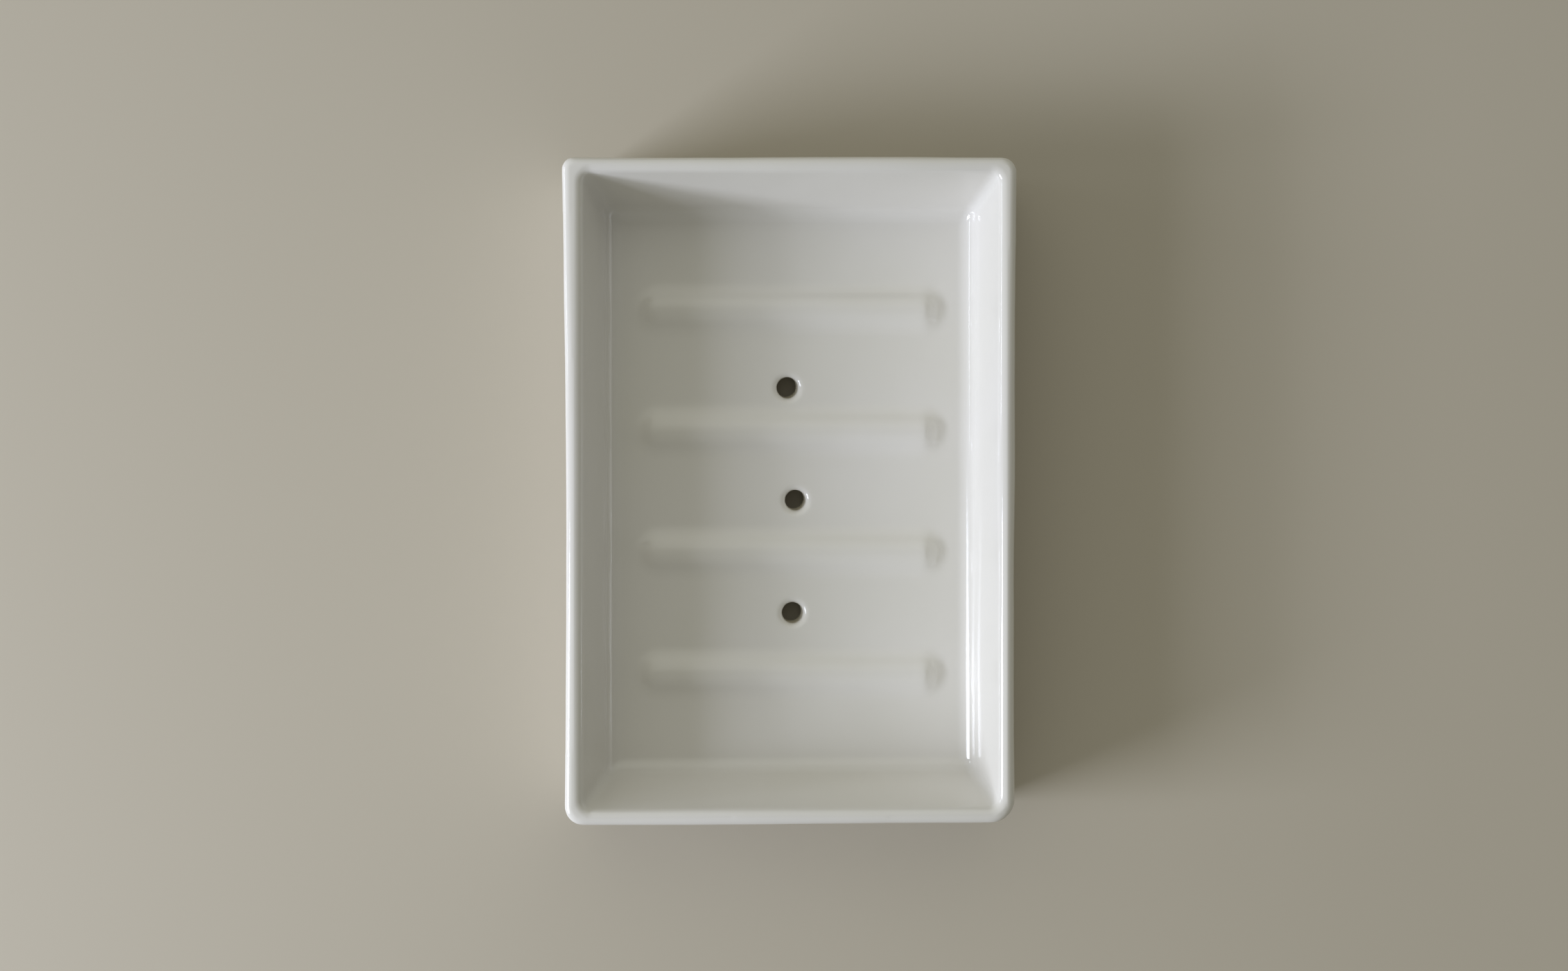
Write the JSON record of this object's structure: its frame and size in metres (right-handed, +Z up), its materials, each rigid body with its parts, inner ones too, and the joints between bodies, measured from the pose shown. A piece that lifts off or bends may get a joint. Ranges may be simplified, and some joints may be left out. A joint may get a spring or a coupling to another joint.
{
  "type": "soap dish",
  "caption": "Shallow rectangular soap dish in white glazed earthenware, with a rounded rim, low cross ribs, drain holes and a foot ring.",
  "frame": {"origin": "middle of the dish's footprint, on the surface that it stands on", "axes": "+X across the dish, +Y along it, +Z up out of the well"},
  "size_m": [0.0954, 0.14, 0.026],
  "materials": {
    "glazed_earthenware": "soft gloss white glaze over buff earthenware"
  },
  "bodies": {
    "root": {"soap_dish": "glazed_earthenware"}
  },
  "joints": []
}
